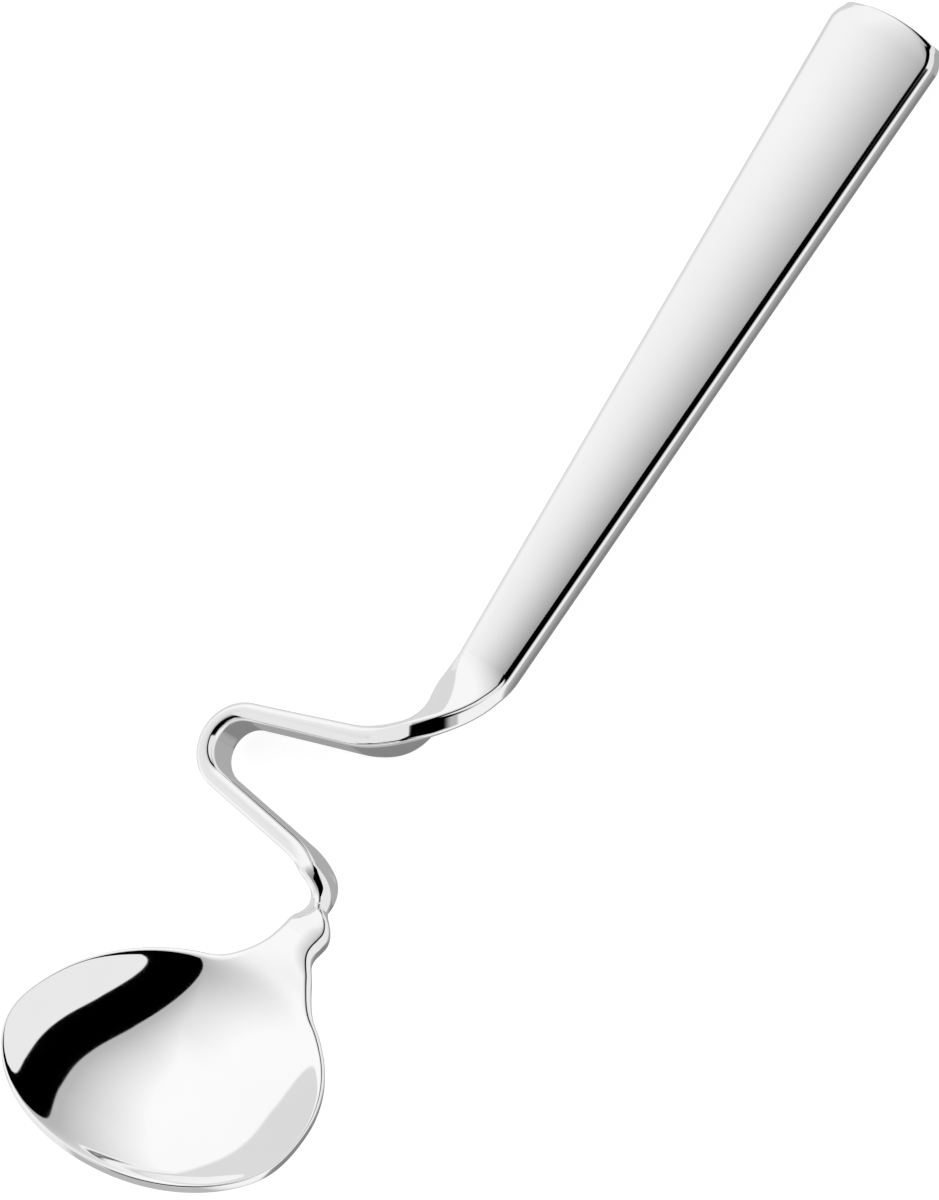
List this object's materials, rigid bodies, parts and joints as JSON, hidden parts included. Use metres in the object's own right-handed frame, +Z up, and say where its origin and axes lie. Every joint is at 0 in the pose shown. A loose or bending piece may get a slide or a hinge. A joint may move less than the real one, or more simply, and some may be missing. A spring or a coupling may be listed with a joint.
{
  "type": "honey spoon",
  "caption": "Polished steel honey spoon: round dished bowl, flat strip neck twisted on edge and folded into a hook that hangs on a jar's rim, tapering flat handle",
  "frame": {"origin": "on the flat back of the handle, at half the handle's length and on its middle line", "axes": "+X along the handle to its free end, +Z up out of the handle's front, +Y to the side of the hook"},
  "size_m": [0.1513, 0.0477, 0.031],
  "materials": {
    "polished_steel_handle": "mirror-polished stainless steel with faint lengthwise polishing marks",
    "polished_steel_neck": "mirror-polished stainless steel, slightly duller in the bends",
    "polished_steel_bowl": "mirror-polished stainless steel with faint round polishing marks"
  },
  "bodies": {
    "root": {"handle": "polished_steel_handle", "neck": "polished_steel_neck", "bowl": "polished_steel_bowl"}
  },
  "joints": []
}
